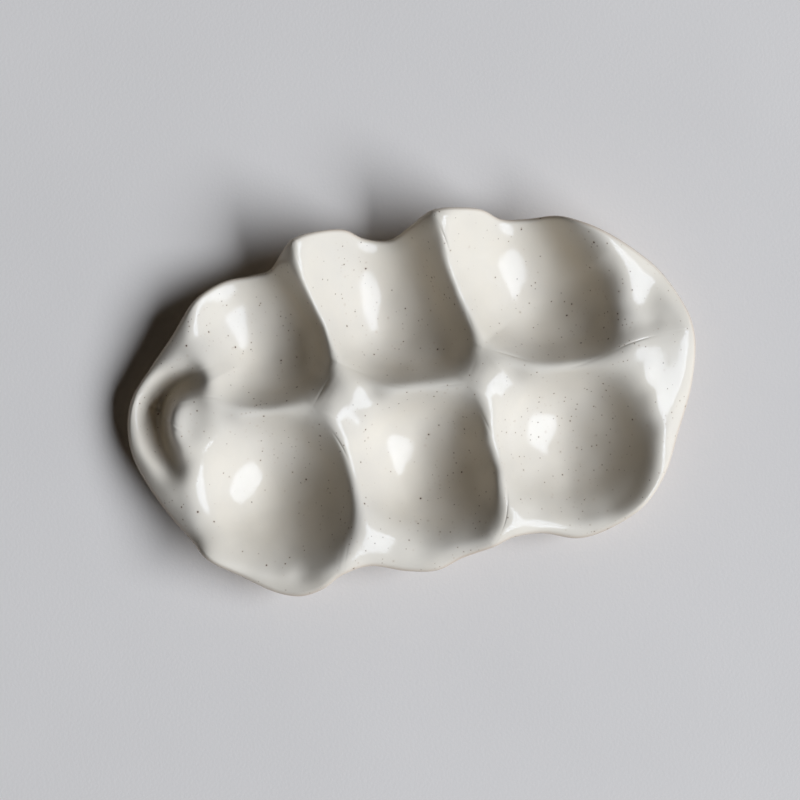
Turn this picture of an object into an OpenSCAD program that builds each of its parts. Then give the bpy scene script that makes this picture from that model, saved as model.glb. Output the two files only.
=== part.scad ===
// Hand-built stoneware egg tray: six pinched cups in two rows of three, luted together along
// their ridges, with a waving rim. Seen from above, +X runs along the rows and +Y to the back.

/* [Hollows] */
// Distance between the hollows along a row
pitch_x = 53; // [51:0.5:58]
// Distance between the two rows
pitch_y = 53; // [51:0.5:58]
// Radius of the round bottom of each hollow, made for the blunt end of a hen's egg
hollow_r = 22; // [20:0.5:24]
// Steepest slope of a hollow's side, in degrees
side_slope = 57; // [50:1:62]
// Height over which a side rounds into the ridge beside it
ridge_round = 8; // [5:0.5:12]
// Height over which a side rounds into the rim beside it
edge_round = 12; // [8:0.5:18]
// Distance from the rim at which the rounding is down to that of the ridges
edge_reach = 26; // [15:0.5:35]

/* [Clay] */
// Thickness of the clay round a hollow
wall = 4.5; // [3.5:0.25:6]
// Thickness of the clay at the rim
lip_t = 4; // [3:0.25:5]
// Radius of the flat foot under each cup
foot_r = 8; // [5:0.5:10]

/* [Ridges and rim] */
// Height of the ridges where three cups meet
ridge_h = 25; // [23:0.5:28]
// How far the rim's dips lie below that
rim_dip = 9; // [6:0.5:10]
// Rise of the rim from a dip to a crest
rim_wave = 14; // [8:0.5:16]
// Width of the strip along the rim that rolls down
roll_w = 6; // [3:0.5:8]
// How far that strip rolls down
roll_drop = 2.25; // [0:0.25:3]

/* [End groove] */
// Depth of the curved groove at the left end
groove_depth = 16; // [10:0.5:18]
// Half width of that groove
groove_w = 3.4; // [2.5:0.1:5]

/* [Hidden] */

glaze = [0.93, 0.91, 0.87];

// Points in plan are [column, row, x, y, ...]: the place in the grid of hollows, columns -1 to 1
// and rows -1 to 1, then the distance from there, as read off the uneven hand-made shape.

// Bottom of each hollow: back row, then front row, each from the left
wells = [
    [-1, 1, 7.5, 1], [0, 1, 0.5, 1.5], [1, 1, 0.5, -1],
    [-1, -1, -1.5, 3], [0, -1, 0.5, 1], [1, -1, -0.5, -0.5]
];

// Each hollow runs out into a trough towards the rim: its length in x and y, and its rise
troughs = [
    [-6, 15, 4], [-4, 19, 6], [-9, 19, 6.5],
    [2, -13, 4], [3, -11, 3.5], [2, -9, 1.5]
];

// How far each hollow's side reaches out, every 45 degrees from the row's direction: 1 is round
stretches = [
    [0.74, 0.66, 0.85, 0.95, 0.92, 1.05, 0.92, 0.96],
    [0.86, 0.8, 0.9, 1.14, 1.07, 1.06, 0.99, 1.19],
    [0.95, 0.76, 0.75, 1, 1.15, 1.02, 1, 1.17],
    [1.09, 1.1, 1.1, 1.1, 1.15, 1.1, 0.97, 1.05],
    [0.88, 1.11, 1.08, 1.18, 1.05, 1.06, 1, 1.05],
    [1.1, 1.1, 1.03, 1.18, 1.13, 1.06, 1.03, 1.1]
];

// Rim, clockwise from the left end. The last value is the height: 0 in a dip, 1 on a crest.
rim_knots = [
    [-1, 0, -50.5, 7.5, -0.25], [-1, 0, -46.5, 18, -0.1], [-1, 1, -37, 1.5, 0],
    [-1, 1, -27.5, 10.5, 0.15], [-1, 1, -17.5, 21, 0.3], [-1, 1, -6.5, 26, 0.3],
    [-1, 1, 4, 26.5, 0.15], [-1, 1, 11.5, 27, 0.25], [-1, 1, 17, 31, 0.9],
    [-0.5, 1, -4.5, 34.5, 1.4], [0, 1, -22, 36, 1.1], [0, 1, -13, 35.5, 0.6],
    [0, 1, -6.5, 31.5, 0.25], [0, 1, 2, 29.5, 0.1], [0, 1, 10, 32, 0.65],
    [0.5, 1, -8, 35, 1.45], [0.5, 1, 1.5, 34.5, 1.25], [1, 1, -16.5, 33, 0.6],
    [1, 1, -10, 29, 0.2], [1, 1, -1, 27.5, 0.15], [1, 1, 8.5, 26, 0.9],
    [1, 1, 16, 22, 1.3], [1, 1, 25.5, 15.5, 1], [1, 1, 34.5, 8, 0.6],
    [1, 1, 42.5, -0.5, 0.15], [1, 0, 48, 13.5, 0.25], [1, 0, 49.5, 4, 0.4],
    [1, 0, 48.5, -5.5, 0.3], [1, 0, 44.5, -18.5, 0.1], [1, -1, 38, -4.5, 0.05],
    [1, -1, 29.5, -18.5, 0.5], [1, -1, 19.5, -28.5, 0.55], [1, -1, 6, -34.5, 0.1],
    [1, -1, -5, -35.5, 0.05], [1, -1, -17, -31, 0.35], [0.5, -1, -1, -30, 0.7],
    [0.5, -1, -9, -32, 0.75], [0, -1, 6.5, -34, 0.4], [0, -1, -3.5, -37, 0.2],
    [0, -1, -14.5, -35, 0.25], [-0.5, -1, 0, -30.5, 0.5], [-0.5, -1, -10, -31.5, 0.75],
    [-1, -1, 8.5, -35.5, 0.4], [-1, -1, -0.5, -37, 0], [-1, -1, -9.5, -33.5, 0.05],
    [-1, -1, -19, -26, 0.3], [-1, -1, -29.5, -17.5, 0.7], [-1, -1, -34.5, -10, 0.15],
    [-1, -1, -41, 0, -0.05], [-1, 0, -47, -14, -0.15], [-1, 0, -50.5, -3.5, -0.25]
];

// Rim knots where the ridges between the cups run out
end_left = 1;
end_back_left = 9;
end_back_right = 15;
end_right = 26;
end_front_right = 36;
end_front_left = 41;

// Where three cups meet. The last value is the height above ridge_h, here and on the ridges.
meet_back_left = [-0.5, 0, 2.5, 16, 0];
meet_front_left = [-0.5, 0, -9, 2.5, -0.5];
meet_back_right = [0.5, 0, 0.5, 11.5, 0];
meet_front_right = [0.5, 0, -7.5, 0, -0.5];

// Points along each ridge, between its ends
mid_back_left = [[-0.5, 1, -3.5, 24.5, 10], [-0.5, 1, 0, 12, 9], [-0.5, 1, 1.5, -0.5, 6]];
mid_back_right = [[0.5, 1, -5, 22.5, 10], [0.5, 1, -3.5, 8.5, 9], [0.5, 1, -2, -4.5, 6]];
mid_left = [[-1, 0, 2.5, 5, 5], [-1, 0, -10.5, 10, 2], [-1, 0, -22, 14, -1], [-1, 0, -34, 14.5, -5.5]];
mid_middle = [[0, 0, -4, 3.5, 5]];
mid_right = [[1, 0, -0.5, -0.5, 5], [1, 0, 13.5, 0, 4], [1, 0, 25.5, 3, 1], [1, 0, 38, 4, -3]];
mid_front_left = [[-0.5, 0, -1.5, -14, 5], [-0.5, -1, 0, -5.5, 5], [-0.5, -1, -6.5, -22.5, 1]];
mid_front_right = [[0.5, 0, -2.5, -17.5, 5], [0.5, -1, 0, -6.5, 5], [0.5, -1, -2.5, -21.5, 1.5]];

// Shoulders beside the ridges, the two ends and the front flanges, with heights above ridge_h
shoulders = [
    [-0.5, 1, 11, 29.5, -1], [-0.5, 1, 6, 20, -2], [0.5, 1, 7.5, 25, 0], [0.5, 1, 2.5, 17.5, -1],
    [-0.5, 0, 12.5, 3.5, -3.5], [-0.5, 0, 4, -5.5, -3.5], [0.5, 0, 9.5, -1.5, -3.5], [0.5, 0, 4, -6.5, -3.5],
    [-1, 0, -13.5, 4.5, -2], [-1, 0, -20.5, -1, -2.5], [-1, 0, -21.5, 15.5, -1], [-1, 0, -26.5, 15, -0.5],
    [-1, 0, -30.5, 12, 1.5], [-1, 0, -33.5, 7.5, 1.5], [-1, 0, -33.5, 2, 1], [-1, 0, -32.5, -4, -1],
    [-1, 0, -31, -9.5, -5], [-1, 0, -23.5, 8.5, -2], [-1, 0, -26.5, 2, -3], [1, 1, 22, 8, 3],
    [1, 1, 25, 2, 0.5], [1, 1, 26, -5, -1.5], [1, 1, 27, -10, -3.5], [1, 1, 32, 2, -2],
    [1, 1, 38, -1.5, -5.5], [1, 1, 35, -9.5, -6], [1, 0, 27, 9, -3.5], [1, 0, 35, 9, -5],
    [1, 0, 43, 9, -5], [1, 0, 32, 1.5, -1.5], [1, 0, 39, 1, -2.5], [1, 0, 28, -8, -0.5],
    [1, 0, 35, -9, -3.5], [1, -1, 30, 7.5, -1.5], [1, -1, 36, 5, -4.5], [1, -1, 30.5, -4.5, -1],
    [1, -1, 26, -11, 0], [-1, 0, -43.5, 6, -9.5], [-1, 0, -43, -8.5, -9], [-1, -1, -35, 11, -6.5],
    [-1, 0, -24, 23.5, -6], [-1, 0, -33, 24.5, -7.5], [0, -1, -9, -28.5, -5], [0, -1, -16, -27.5, -3.5],
    [-1, -1, -7, -26.5, -6.5], [-1, -1, 1, -29.5, -7], [1, -1, -3, -28.5, -6.5], [1, -1, 7, -27, -6]
];

// Middle line of the end groove. The last value is the share of groove_depth.
groove_knots = [
    [-1, 0, -21, 19.5, 0.2], [-1, 0, -27, 20, 0.6], [-1, 0, -33, 18.5, 0.9], [-1, 0, -37.5, 14, 1],
    [-1, 0, -39.5, 8, 1], [-1, 0, -39.5, 1.5, 0.9], [-1, 0, -38, -4.5, 0.6], [-1, 0, -36.5, -10, 0.2]
];

// Steps of the curves between two knots
rim_steps = 3;
ridge_steps = 3;
groove_steps = 4;

// How far each known height reaches into the sheet, and how stiffly the sheet bends between them
height_reach = 5;
stiffness = 1;

// Rings of each cup from the foot circle out to its border. The cups with the groove have more.
rings = 12;
groove_rings = 24;

// Curves
function plan(p) = [p[0] * pitch_x + p[2], p[1] * pitch_y / 2 + p[3]];
function bend(a, b, c, d, t) =
    (2 * b + (c - a) * t + (2 * a - 5 * b + 4 * c - d) * t * t + (3 * b - 3 * c + d - a) * t * t * t) / 2;
function loop_curve(p, steps) = let (n = len(p))
    [for (i = [0 : n - 1], k = [0 : steps - 1])
        bend(p[(i + n - 1) % n], p[i], p[(i + 1) % n], p[(i + 2) % n], k / steps)];
function open_curve(p, steps) = let (n = len(p), q = [2 * p[0] - p[1], each p, 2 * p[n - 1] - p[n - 2]])
    [for (i = [1 : n - 1], k = [0 : steps - 1]) bend(q[i - 1], q[i], q[i + 1], q[i + 2], k / steps),
     p[n - 1]];
function reversed(p) = [for (i = [len(p) - 1 : -1 : 0]) p[i]];
function flat(p) = [p[0], p[1]];
function ease(t) = let (s = min(max(t, 0), 1)) s * s * (3 - 2 * s);

// The tray's middle is the middle of its rim's box
plain_rim = loop_curve([for (p = rim_knots) plan(p)], rim_steps);
rim_xs = [for (p = plain_rim) p[0]];
rim_ys = [for (p = plain_rim) p[1]];
middle = [(min(rim_xs) + max(rim_xs)) / 2, (min(rim_ys) + max(rim_ys)) / 2];
function at_rim_height(p) = [each plan(p) - middle, ridge_h - rim_dip + p[4] * rim_wave];
function at_ridge_height(p) = [each plan(p) - middle, ridge_h + p[4]];
function at_share(p) = [each plan(p) - middle, p[4] * groove_depth];

rim_points = [for (p = rim_knots) at_rim_height(p)];
rim = loop_curve(rim_points, rim_steps);
well_points = [for (p = wells) plan(p) - middle];
groove = open_curve([for (p = groove_knots) at_share(p)], groove_steps);

function ridge(first, mids, last) =
    open_curve([first, each [for (p = mids) at_ridge_height(p)], last], ridge_steps);
p_back_left = at_ridge_height(meet_back_left);
p_front_left = at_ridge_height(meet_front_left);
p_back_right = at_ridge_height(meet_back_right);
p_front_right = at_ridge_height(meet_front_right);
ridge_back_left = ridge(rim_points[end_back_left], mid_back_left, p_back_left);
ridge_back_right = ridge(rim_points[end_back_right], mid_back_right, p_back_right);
ridge_short_left = ridge(p_back_left, [], p_front_left);
ridge_short_right = ridge(p_back_right, [], p_front_right);
ridge_middle = ridge(p_back_left, mid_middle, p_front_right);
ridge_left = ridge(p_front_left, mid_left, rim_points[end_left]);
ridge_right = ridge(p_back_right, mid_right, rim_points[end_right]);
ridge_front_left = ridge(p_front_left, mid_front_left, rim_points[end_front_left]);
ridge_front_right = ridge(p_front_right, mid_front_right, rim_points[end_front_right]);

// Sheet of clay that the hollows are pressed into: at each point, the plane that fits the known
// heights around it. Near heights weigh more than far ones.
heights = [
    each rim, each ridge_back_left, each ridge_back_right, each ridge_short_left,
    each ridge_short_right, each ridge_middle, each ridge_left, each ridge_right,
    each ridge_front_left, each ridge_front_right,
    each [for (p = shoulders) at_ridge_height(p)]
];
moments = [for (h = heights)
    [1, h[0], h[1], h[2], h[0] * h[0], h[0] * h[1], h[1] * h[1], h[0] * h[2], h[1] * h[2]]];
function sheet(x, y) =
    let (w = [for (h = heights) pow(pow(x - h[0], 2) + pow(y - h[1], 2) + height_reach * height_reach, -2)],
         sums = w * moments,
         m = sums / sums[0],
         xx = m[4] - m[1] * m[1] + stiffness * stiffness,
         xy = m[5] - m[1] * m[2],
         yy = m[6] - m[2] * m[2] + stiffness * stiffness,
         xz = m[7] - m[1] * m[3],
         yz = m[8] - m[2] * m[3],
         area = xx * yy - xy * xy)
    m[3] + ((xz * yy - yz * xy) * (x - m[1]) + (yz * xx - xz * xy) * (y - m[2])) / area;

// Distance from a point to the rim
function to_segment(p, a, b) = let (d = b - a, t = (p - a) * d / (d * d))
    norm(p - a - d * min(max(t, 0), 1));
function to_rim(x, y) = min([for (i = [0 : len(rim) - 1])
    to_segment([x, y], flat(rim[i]), flat(rim[(i + 1) % len(rim)]))]);

// Depth of the end groove
function groove_at(x, y) = max([for (g = groove)
    g[2] * exp(-(pow(x - g[0], 2) + pow(y - g[1], 2)) / (2 * groove_w * groove_w))]);

// How far the side of hollow k reaches out in the direction of q. It is round at the foot.
function reach(k, q) =
    let (v = stretches[k], n = len(v),
         turn = (atan2(q[1], q[0]) + 360) % 360 * n / 360, i = floor(turn),
         side = bend(v[(i + n - 1) % n], v[i % n], v[(i + 1) % n], v[(i + 2) % n], turn - i))
    1 + (side - 1) * ease((norm(q) - foot_r) / (hollow_r - foot_r));

// Bowl of radius r round hollow k: a ball below and a cone above, drawn out along its trough.
// The outer ball cuts the table plane in the foot circle.
ball_z = sqrt(pow(hollow_r + wall, 2) - foot_r * foot_r);
function bowl(p, k, r) =
    let (trough = flat(troughs[k]), v = p - well_points[k],
         along = max(v * trough / (trough * trough), 0), t = min(along, 1),
         q = v - t * trough, d = norm(q) / reach(k, q), edge = r * sin(side_slope))
    ball_z - sqrt(r * r - pow(min(d, edge), 2)) + tan(side_slope) * max(d - edge, 0)
        + troughs[k][2] * t * (2 * along - t);
function soft_min(a, b, rounding) = min(a, b) - pow(max(rounding - abs(a - b), 0), 2) / (4 * rounding);
function lowest(v, i) = i == 0 ? v[0] : soft_min(lowest(v, i - 1), v[i], ridge_round);
function bowls(p, r) = lowest([for (k = [0 : len(wells) - 1]) bowl(p, k, r)], len(wells) - 1);

// Heights of the upper and the under surface at a point. At the rim they close in a half round.
function surfaces(p) =
    let (x = p[0], y = p[1], gap = to_rim(x, y),
         roll = roll_drop * pow(max(1 - gap / roll_w, 0), 2),
         clay = sheet(x, y) - roll - groove_at(x, y),
         rounding = edge_round + (ridge_round - edge_round) * ease(gap / edge_reach),
         upper = soft_min(clay, bowls(p, hollow_r), rounding),
         under = max(soft_min(clay - lip_t, bowls(p, hollow_r + wall), rounding), 0),
         mean = (upper + under) / 2,
         open = sqrt(1 - pow(max(1 - 2 * gap / lip_t, 0), 2)))
    [mean + (upper - mean) * open, mean + (under - mean) * open];

// One cup: rings of points round the hollow's middle, from the foot circle out to the border.
// The rings lie closer together towards the border. The border runs clockwise. Its first rim_count
// points lie on the rim, where the surfaces meet.
module cup(well, border, rim_count, top_last = rings) {
    c = well_points[well];
    n = len(border);
    under_last = round(top_last * 0.7);
    function share(i, last) = 1 - pow(1 - i / last, 1.6);
    function ray(i, share) = let (v = border[i] - c, d = norm(v))
        c + v * (foot_r + (d - foot_r) * share) / d;
    top_grid = [for (r = [0 : top_last], i = [0 : n - 1]) ray(i, share(r, top_last))];
    under_grid = [for (r = [0 : under_last], i = [0 : n - 1]) ray(i, share(r, under_last))];
    points = [
        [c[0], c[1], surfaces(c)[0]],
        [c[0], c[1], 0],
        for (p = top_grid) [p[0], p[1], surfaces(p)[0]],
        for (p = under_grid) [p[0], p[1], surfaces(p)[1]]
    ];
    function top(r, i) = 2 + r * n + i % n;
    function under(r, i) = r == under_last && i % n < rim_count
        ? top(top_last, i)
        : 2 + len(top_grid) + r * n + i % n;
    faces = [
        for (i = [0 : n - 1]) each [
            [0, top(0, i), top(0, i + 1)],
            [1, under(0, i + 1), under(0, i)],
            for (r = [0 : top_last - 1]) each [
                [top(r, i), top(r + 1, i), top(r + 1, i + 1)],
                [top(r, i), top(r + 1, i + 1), top(r, i + 1)]
            ],
            for (r = [0 : under_last - 1]) each [
                [under(r, i), under(r, i + 1), under(r + 1, i + 1)],
                [under(r, i), under(r + 1, i + 1), under(r + 1, i)]
            ],
            if (top(top_last, i) != under(under_last, i))
                [top(top_last, i + 1), top(top_last, i), under(under_last, i)],
            if (top(top_last, i + 1) != under(under_last, i + 1))
                [top(top_last, i + 1), under(under_last, i), under(under_last, i + 1)]
        ]
    ];
    color(glaze) polyhedron(points, faces);
}

// Border of a cup: a run of the rim, then the ridges that lead back to its start
function rim_run(first, last) = let (n = len(rim), stop = last > first ? last : last + len(rim_knots))
    [for (i = [first * rim_steps : stop * rim_steps]) rim[i % n]];
function border(run, ridges) =
    [for (p = [each run, each [for (k = [0 : len(ridges) - 1]) each [for (i = [1 : len(ridges[k]) - 1])
        if (k < len(ridges) - 1 || i < len(ridges[k]) - 1) ridges[k][i]]]]) flat(p)];

module cup_back_left() {
    run = rim_run(end_left, end_back_left);
    cup(0, border(run, [ridge_back_left, ridge_short_left, ridge_left]), len(run), groove_rings);
}

module cup_back_middle() {
    run = rim_run(end_back_left, end_back_right);
    sides = [ridge_back_right, ridge_short_right, reversed(ridge_middle), reversed(ridge_back_left)];
    cup(1, border(run, sides), len(run));
}

module cup_back_right() {
    run = rim_run(end_back_right, end_right);
    cup(2, border(run, [reversed(ridge_right), reversed(ridge_back_right)]), len(run));
}

module cup_front_left() {
    run = rim_run(end_front_left, end_left);
    cup(3, border(run, [reversed(ridge_left), ridge_front_left]), len(run), groove_rings);
}

module cup_front_middle() {
    run = rim_run(end_front_right, end_front_left);
    sides = [reversed(ridge_front_left), reversed(ridge_short_left), ridge_middle, ridge_front_right];
    cup(4, border(run, sides), len(run));
}

module cup_front_right() {
    run = rim_run(end_right, end_front_right);
    cup(5, border(run, [reversed(ridge_front_right), reversed(ridge_short_right), ridge_right]), len(run));
}

cup_back_left();
cup_back_middle();
cup_back_right();
cup_front_left();
cup_front_middle();
cup_front_right();
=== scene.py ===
"""Looks of a hand-built egg tray: six glazed stoneware cups, luted into one tray with a waving rim."""
import math

import bpy
import numpy as np
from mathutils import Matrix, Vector, noise


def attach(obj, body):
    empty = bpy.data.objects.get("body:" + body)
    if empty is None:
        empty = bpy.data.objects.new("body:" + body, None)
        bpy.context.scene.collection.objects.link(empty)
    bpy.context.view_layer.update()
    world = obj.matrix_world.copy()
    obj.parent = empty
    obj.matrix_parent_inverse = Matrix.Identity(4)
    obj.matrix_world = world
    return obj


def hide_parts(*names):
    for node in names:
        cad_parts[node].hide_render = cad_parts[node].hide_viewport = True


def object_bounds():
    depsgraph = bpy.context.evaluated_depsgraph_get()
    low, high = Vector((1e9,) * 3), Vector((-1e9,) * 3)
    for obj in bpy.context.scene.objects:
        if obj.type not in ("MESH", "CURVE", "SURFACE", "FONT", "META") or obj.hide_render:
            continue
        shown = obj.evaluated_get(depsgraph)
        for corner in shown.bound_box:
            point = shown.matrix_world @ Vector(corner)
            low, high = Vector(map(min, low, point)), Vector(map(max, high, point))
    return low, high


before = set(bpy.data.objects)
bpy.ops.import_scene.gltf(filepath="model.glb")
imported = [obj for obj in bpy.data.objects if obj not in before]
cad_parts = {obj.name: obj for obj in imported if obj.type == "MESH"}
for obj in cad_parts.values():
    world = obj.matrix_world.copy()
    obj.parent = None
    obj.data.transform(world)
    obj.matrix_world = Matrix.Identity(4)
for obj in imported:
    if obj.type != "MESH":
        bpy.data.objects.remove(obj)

bl_info = {
    "name": "Glazed egg tray",
    "version": (1, 0, 0),
    "blender": (4, 5, 0),
    "location": "View3D > Sidebar > Egg tray",
    "description": "Makes the glazed cups of a stoneware egg tray, and a stage to look at it on",
    "category": "Object",
}

# Box of the solids, from before anything is added
CAD_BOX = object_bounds()
MM = 0.001

# Places in plan are (column, row, x, y, ...): the place in the grid of hollows, columns -1 to 1 and
# rows -1 to 1, then the distance from there in millimetres, uneven as the hand-made shape is.

# Bottom of each hollow
WELLS = {
    "back_left": (-1, 1, 7.5, 1),
    "back_middle": (0, 1, 0.5, 1.5),
    "back_right": (1, 1, 0.5, -1),
    "front_left": (-1, -1, -1.5, 3),
    "front_middle": (0, -1, 0.5, 1),
    "front_right": (1, -1, -0.5, -0.5),
}

# Each hollow runs out into a trough towards the rim: its length in x and y, and its rise
TROUGHS = {
    "back_left": (-6, 15, 4),
    "back_middle": (-4, 19, 6),
    "back_right": (-9, 19, 6.5),
    "front_left": (2, -13, 4),
    "front_middle": (3, -11, 3.5),
    "front_right": (2, -9, 1.5),
}

# How far each hollow's side reaches out, every 45 degrees from the row's direction: 1 is round
STRETCH = {
    "back_left": (0.74, 0.66, 0.85, 0.95, 0.92, 1.05, 0.92, 0.96),
    "back_middle": (0.86, 0.8, 0.9, 1.14, 1.07, 1.06, 0.99, 1.19),
    "back_right": (0.95, 0.76, 0.75, 1, 1.15, 1.02, 1, 1.17),
    "front_left": (1.09, 1.1, 1.1, 1.1, 1.15, 1.1, 0.97, 1.05),
    "front_middle": (0.88, 1.11, 1.08, 1.18, 1.05, 1.06, 1, 1.05),
    "front_right": (1.1, 1.1, 1.03, 1.18, 1.13, 1.06, 1.03, 1.1),
}

# Rim, clockwise from the left end. The last value is the height: 0 in a dip, 1 on a crest.
RIM_KNOTS = [
    (-1, 0, -50.5, 7.5, -0.25), (-1, 0, -46.5, 18, -0.1), (-1, 1, -37, 1.5, 0),
    (-1, 1, -27.5, 10.5, 0.15), (-1, 1, -17.5, 21, 0.3), (-1, 1, -6.5, 26, 0.3),
    (-1, 1, 4, 26.5, 0.15), (-1, 1, 11.5, 27, 0.25), (-1, 1, 17, 31, 0.9),
    (-0.5, 1, -4.5, 34.5, 1.4), (0, 1, -22, 36, 1.1), (0, 1, -13, 35.5, 0.6),
    (0, 1, -6.5, 31.5, 0.25), (0, 1, 2, 29.5, 0.1), (0, 1, 10, 32, 0.65),
    (0.5, 1, -8, 35, 1.45), (0.5, 1, 1.5, 34.5, 1.25), (1, 1, -16.5, 33, 0.6),
    (1, 1, -10, 29, 0.2), (1, 1, -1, 27.5, 0.15), (1, 1, 8.5, 26, 0.9),
    (1, 1, 16, 22, 1.3), (1, 1, 25.5, 15.5, 1), (1, 1, 34.5, 8, 0.6),
    (1, 1, 42.5, -0.5, 0.15), (1, 0, 48, 13.5, 0.25), (1, 0, 49.5, 4, 0.4),
    (1, 0, 48.5, -5.5, 0.3), (1, 0, 44.5, -18.5, 0.1), (1, -1, 38, -4.5, 0.05),
    (1, -1, 29.5, -18.5, 0.5), (1, -1, 19.5, -28.5, 0.55), (1, -1, 6, -34.5, 0.1),
    (1, -1, -5, -35.5, 0.05), (1, -1, -17, -31, 0.35), (0.5, -1, -1, -30, 0.7),
    (0.5, -1, -9, -32, 0.75), (0, -1, 6.5, -34, 0.4), (0, -1, -3.5, -37, 0.2),
    (0, -1, -14.5, -35, 0.25), (-0.5, -1, 0, -30.5, 0.5), (-0.5, -1, -10, -31.5, 0.75),
    (-1, -1, 8.5, -35.5, 0.4), (-1, -1, -0.5, -37, 0), (-1, -1, -9.5, -33.5, 0.05),
    (-1, -1, -19, -26, 0.3), (-1, -1, -29.5, -17.5, 0.7), (-1, -1, -34.5, -10, 0.15),
    (-1, -1, -41, 0, -0.05), (-1, 0, -47, -14, -0.15), (-1, 0, -50.5, -3.5, -0.25),
]

# Rim knots where the ridges between the cups run out
RIM_ENDS = {
    "left": 1,
    "back_left": 9,
    "back_right": 15,
    "right": 26,
    "front_right": 36,
    "front_left": 41,
}

# Where three cups meet. The last value is the height above ridge_h, here and on the ridges.
MEETS = {
    "meet_back_left": (-0.5, 0, 2.5, 16, 0),
    "meet_front_left": (-0.5, 0, -9, 2.5, -0.5),
    "meet_back_right": (0.5, 0, 0.5, 11.5, 0),
    "meet_front_right": (0.5, 0, -7.5, 0, -0.5),
}

# Each ridge: its two ends, and the points between them
RIDGES = {
    "back_left": ("back_left", "meet_back_left",
                  [(-0.5, 1, -3.5, 24.5, 10), (-0.5, 1, 0, 12, 9), (-0.5, 1, 1.5, -0.5, 6)]),
    "back_right": ("back_right", "meet_back_right",
                   [(0.5, 1, -5, 22.5, 10), (0.5, 1, -3.5, 8.5, 9), (0.5, 1, -2, -4.5, 6)]),
    "short_left": ("meet_back_left", "meet_front_left", []),
    "short_right": ("meet_back_right", "meet_front_right", []),
    "middle": ("meet_back_left", "meet_front_right", [(0, 0, -4, 3.5, 5)]),
    "left": ("meet_front_left", "left",
             [(-1, 0, 2.5, 5, 5), (-1, 0, -10.5, 10, 2), (-1, 0, -22, 14, -1), (-1, 0, -34, 14.5, -5.5)]),
    "right": ("meet_back_right", "right",
              [(1, 0, -0.5, -0.5, 5), (1, 0, 13.5, 0, 4), (1, 0, 25.5, 3, 1), (1, 0, 38, 4, -3)]),
    "front_left": ("meet_front_left", "front_left",
                   [(-0.5, 0, -1.5, -14, 5), (-0.5, -1, 0, -5.5, 5), (-0.5, -1, -6.5, -22.5, 1)]),
    "front_right": ("meet_front_right", "front_right",
                    [(0.5, 0, -2.5, -17.5, 5), (0.5, -1, 0, -6.5, 5), (0.5, -1, -2.5, -21.5, 1.5)]),
}

# Border of each cup, clockwise: a run of the rim, then ridges back to its start, some of them reversed
BORDERS = {
    "back_left": (("left", "back_left"), ["back_left", "short_left", "left"]),
    "back_middle": (("back_left", "back_right"), ["back_right", "short_right", "-middle", "-back_left"]),
    "back_right": (("back_right", "right"), ["-right", "-back_right"]),
    "front_left": (("front_left", "left"), ["-left", "front_left"]),
    "front_middle": (("front_right", "front_left"),
                     ["-front_left", "-short_left", "middle", "front_right"]),
    "front_right": (("right", "front_right"), ["-front_right", "-short_right", "right"]),
}

# Shoulders beside the ridges, the ends and the front flanges, with heights above ridge_h
SHOULDERS = [
    (-0.5, 1, 11, 29.5, -1), (-0.5, 1, 6, 20, -2),
    (0.5, 1, 7.5, 25, 0), (0.5, 1, 2.5, 17.5, -1),
    (-0.5, 0, 12.5, 3.5, -3.5), (-0.5, 0, 4, -5.5, -3.5),
    (0.5, 0, 9.5, -1.5, -3.5), (0.5, 0, 4, -6.5, -3.5),
    (-1, 0, -13.5, 4.5, -2), (-1, 0, -20.5, -1, -2.5),
    (-1, 0, -21.5, 15.5, -1), (-1, 0, -26.5, 15, -0.5), (-1, 0, -30.5, 12, 1.5), (-1, 0, -33.5, 7.5, 1.5),
    (-1, 0, -33.5, 2, 1), (-1, 0, -32.5, -4, -1), (-1, 0, -31, -9.5, -5),
    (-1, 0, -23.5, 8.5, -2), (-1, 0, -26.5, 2, -3),
    (1, 1, 22, 8, 3), (1, 1, 25, 2, 0.5), (1, 1, 26, -5, -1.5), (1, 1, 27, -10, -3.5), (1, 1, 32, 2, -2),
    (1, 1, 38, -1.5, -5.5), (1, 1, 35, -9.5, -6),
    (1, 0, 27, 9, -3.5), (1, 0, 35, 9, -5), (1, 0, 43, 9, -5),
    (1, 0, 32, 1.5, -1.5), (1, 0, 39, 1, -2.5),
    (1, 0, 28, -8, -0.5), (1, 0, 35, -9, -3.5), (1, -1, 30, 7.5, -1.5), (1, -1, 36, 5, -4.5),
    (1, -1, 30.5, -4.5, -1), (1, -1, 26, -11, 0),
    (-1, 0, -43.5, 6, -9.5), (-1, 0, -43, -8.5, -9), (-1, -1, -35, 11, -6.5),
    (-1, 0, -24, 23.5, -6), (-1, 0, -33, 24.5, -7.5),
    (0, -1, -9, -28.5, -5), (0, -1, -16, -27.5, -3.5), (-1, -1, -7, -26.5, -6.5), (-1, -1, 1, -29.5, -7),
    (1, -1, -3, -28.5, -6.5), (1, -1, 7, -27, -6),
]

# Middle line of the end groove. The last value is the share of its depth.
GROOVE_KNOTS = [
    (-1, 0, -21, 19.5, 0.2), (-1, 0, -27, 20, 0.6), (-1, 0, -33, 18.5, 0.9), (-1, 0, -37.5, 14, 1),
    (-1, 0, -39.5, 8, 1), (-1, 0, -39.5, 1.5, 0.9), (-1, 0, -38, -4.5, 0.6), (-1, 0, -36.5, -10, 0.2),
]

# Fineness of the meshes: points from one knot to the next, and rings from a hollow's middle outward
RIM_STEPS = 6
RIDGE_STEPS = 8
FOOT_RINGS = 5
WALL_RINGS = 26
LIP_ARC_RINGS = 7
# Distances from the rim, in millimetres, of added points where a ridge runs into the lip
LIP_STEPS = (1.0, 0.5, 0.15)
# Points that agree to this many decimals of a millimetre are at one place
PLACE_DECIMALS = 4

# The sheet of clay: marks from one knot to the next, the distance in millimetres over which the heights of
# the marks blend, and how much the sheet resists tilting where the marks lie in one line
MARK_STEPS = 3
HEIGHT_REACH = 5.0
STIFFNESS = 1.0

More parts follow.
